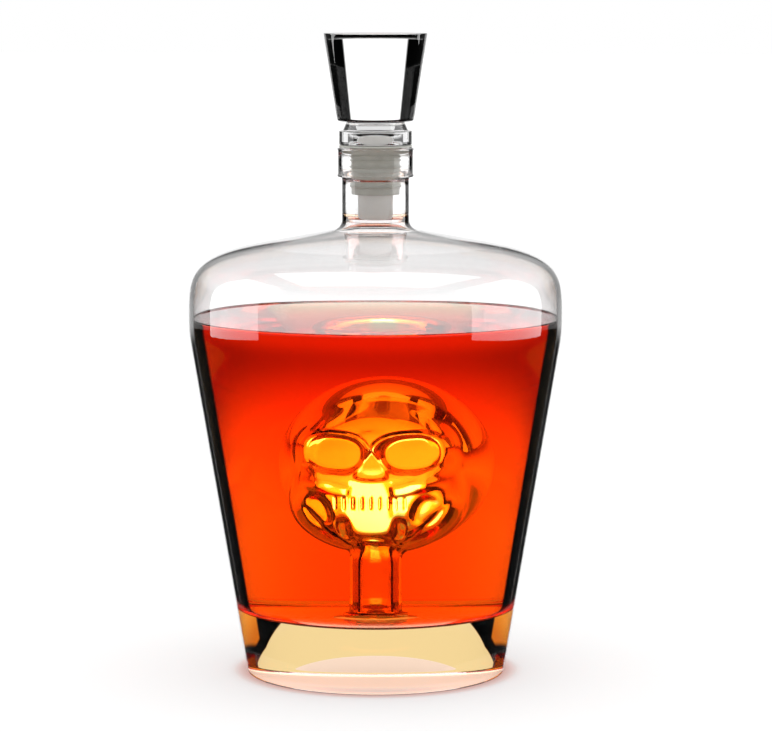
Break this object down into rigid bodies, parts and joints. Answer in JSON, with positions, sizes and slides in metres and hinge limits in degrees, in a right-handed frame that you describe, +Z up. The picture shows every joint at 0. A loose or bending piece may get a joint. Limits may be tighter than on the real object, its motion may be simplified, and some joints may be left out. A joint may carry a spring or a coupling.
{
  "type": "liqueur carafe",
  "caption": "Clear glass liqueur carafe with a hollow glass skull on a stem inside it, a tapered body on a thick base, and a solid glass stopper with a ribbed plug.",
  "frame": {"origin": "middle of the ring that the carafe stands on, on its own axis, at the height of the table", "axes": "+Z up along the axis of the carafe and the stopper; the skull looks along -Y"},
  "size_m": [0.1436, 0.1436, 0.245],
  "materials": {
    "clear_glass": "clear, fire-polished",
    "peg_plastic": "smooth pale plastic",
    "sleeve_plastic": "soft, slightly see-through, grey-beige"
  },
  "bodies": {
    "carafe": {"glass_base": "clear_glass", "body_shell": "clear_glass", "neck": "clear_glass", "skull": "clear_glass", "skull_stem": "clear_glass"},
    "stopper": {"stopper_head": "clear_glass", "stopper_peg": "peg_plastic", "stopper_sleeve": "sleeve_plastic"}
  },
  "joints": [
    {"name": "stopper_lift", "type": "slide", "parent": "carafe", "child": "stopper", "axis": [0, 0, 1], "range_m": [0, 0.06]}
  ]
}
